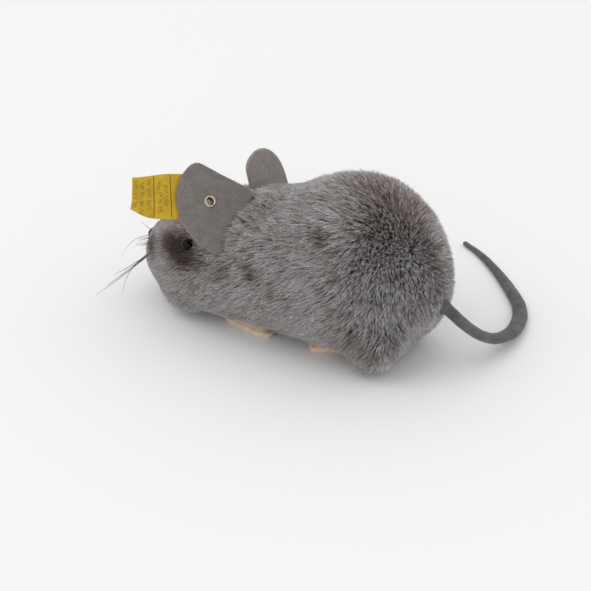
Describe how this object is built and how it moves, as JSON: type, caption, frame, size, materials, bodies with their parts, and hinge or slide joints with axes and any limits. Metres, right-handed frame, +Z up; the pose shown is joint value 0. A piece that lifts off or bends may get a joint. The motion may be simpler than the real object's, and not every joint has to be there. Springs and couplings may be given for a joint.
{
  "type": "clockwork mouse",
  "caption": "Plush-covered clockwork mouse with felt ears and feet, a suede tail, a side winding key and wheels under the belly.",
  "frame": {"origin": "on the floor, under the middle of the whole outline, tail included", "axes": "+Z up, -Y towards the nose, +Y towards the tail, +X towards the mouse's own left"},
  "size_m": [0.1232, 0.143, 0.0629],
  "materials": {
    "plush": "mottled grey pile",
    "stuffing": "loose fibre",
    "ear_felt": "matt wool felt",
    "eyelet_metal": "worn nickel",
    "label_ribbon": "woven ribbon",
    "bead": "polished black",
    "nose_bead": "satin black",
    "bristle": "dull",
    "foot_felt": "matt wool felt",
    "tail_leather": "suede",
    "tinplate": "bright tin",
    "brass": "dull brass",
    "steel": "turned",
    "spring_steel": "blued",
    "key_metal": "nickel plate",
    "wheel_tin": "pressed tin",
    "tyre_rubber": "matt",
    "roller_wood": "turned beech"
  },
  "bodies": {
    "chassis": {"fur_cover": "plush", "head_stuffing": "stuffing", "rump_stuffing": "stuffing", "ear_left": "ear_felt", "ear_right": "ear_felt", "ear_eyelet": "eyelet_metal", "ear_label": "label_ribbon", "eye_left": "bead", "eye_right": "bead", "nose": "nose_bead", "whiskers_left": "bristle", "whiskers_right": "bristle", "foot_front_left": "foot_felt", "foot_front_right": "foot_felt", "foot_hind_left": "foot_felt", "foot_hind_right": "foot_felt", "tail": "tail_leather", "chassis_plate": "tinplate", "frame_plate_left": "brass", "frame_plate_right": "brass", "frame_pillars": "steel", "pillar_rivets": "steel", "mainspring": "spring_steel", "front_bracket": "tinplate", "bracket_rivets": "steel", "front_axle": "steel", "key_bush": "brass"},
    "great_wheel": {"great_wheel": "brass", "click_pin": "steel"},
    "click": {"click": "steel", "click_spring": "brass"},
    "winding_arbor": {"winding_arbor": "steel", "ratchet_wheel": "steel", "winding_key": "key_metal"},
    "second_arbor": {"second_arbor": "steel", "second_pinion": "brass", "second_wheel": "brass"},
    "drive_axle": {"drive_axle": "steel", "drive_pinion": "brass", "drive_wheel_left": "wheel_tin", "drive_wheel_right": "wheel_tin", "tyre_left": "tyre_rubber", "tyre_right": "tyre_rubber"},
    "front_roller": {"front_roller": "roller_wood"}
  },
  "joints": [
    {"name": "train_run", "type": "hinge", "parent": "chassis", "child": "great_wheel", "pos_m": [0.0212, 0.00725, 0.02197], "axis": [1, 0, 0], "continuous": true},
    {"name": "key_wind", "type": "hinge", "parent": "great_wheel", "child": "winding_arbor", "pos_m": [0.0212, 0.00725, 0.02197], "axis": [-1, 0, 0], "range_deg": [0, 2160]},
    {"name": "click_lift", "type": "hinge", "parent": "great_wheel", "child": "click", "pos_m": [0.0227, 0.01145, 0.02837], "axis": [1, 0, 0], "range_deg": [0, 7], "stiffness_Nm_per_rad": 0.000002},
    {"name": "second_turn", "type": "hinge", "parent": "chassis", "child": "second_arbor", "pos_m": [0.0212, 0.02177, 0.01626], "axis": [1, 0, 0], "continuous": true},
    {"name": "axle_turn", "type": "hinge", "parent": "chassis", "child": "drive_axle", "pos_m": [0.0212, 0.0328, 0.007], "axis": [1, 0, 0], "continuous": true},
    {"name": "roller_turn", "type": "hinge", "parent": "chassis", "child": "front_roller", "pos_m": [0.0212, -0.0142, 0.0032], "axis": [1, 0, 0], "continuous": true}
  ],
  "couplings": [
    {"joint": "second_turn", "follows": "axle_turn", "ratio": -0.33333},
    {"joint": "train_run", "follows": "axle_turn", "ratio": 0.1}
  ]
}
